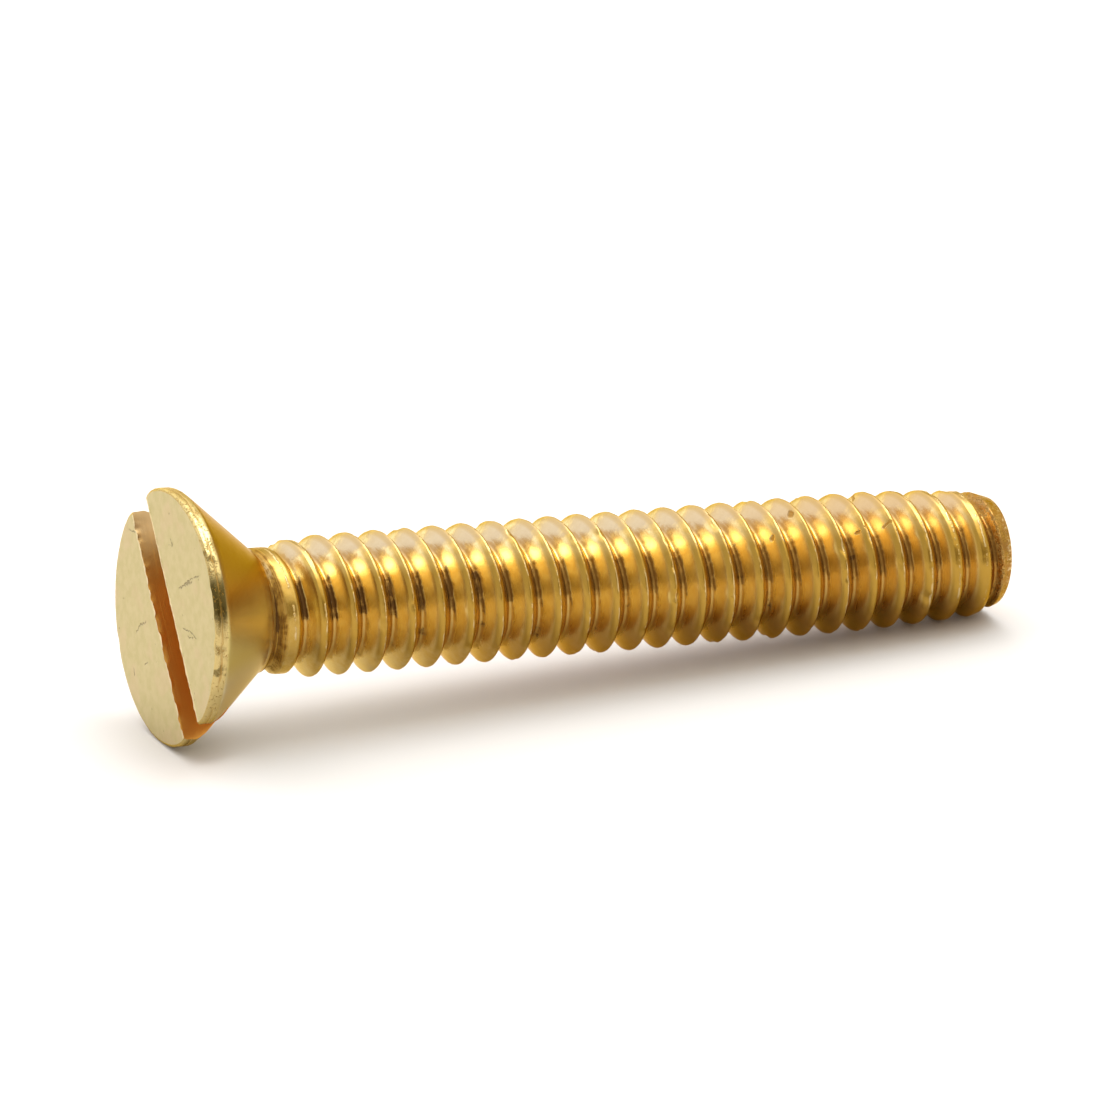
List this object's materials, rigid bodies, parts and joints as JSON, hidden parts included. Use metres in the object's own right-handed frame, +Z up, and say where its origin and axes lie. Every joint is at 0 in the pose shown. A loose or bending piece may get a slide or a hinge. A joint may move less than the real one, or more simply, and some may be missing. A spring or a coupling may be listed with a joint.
{
  "type": "machine screw",
  "caption": "Slotted flat head machine screw in brass, with a countersunk head and a coarse rolled thread along its whole shank.",
  "frame": {"origin": "on the surface that the screw lies on, under the middle of its box", "axes": "+X along the lying screw from its head to its point, +Z up; the screw's own axis leans down towards the point by 4.2 degrees"},
  "size_m": [0.0306, 0.0086, 0.0086],
  "materials": {
    "brass": "bright rolled brass, with a paler sheared face and brown tarnish in the grooves"
  },
  "bodies": {
    "root": {"screw": "brass"}
  },
  "joints": []
}
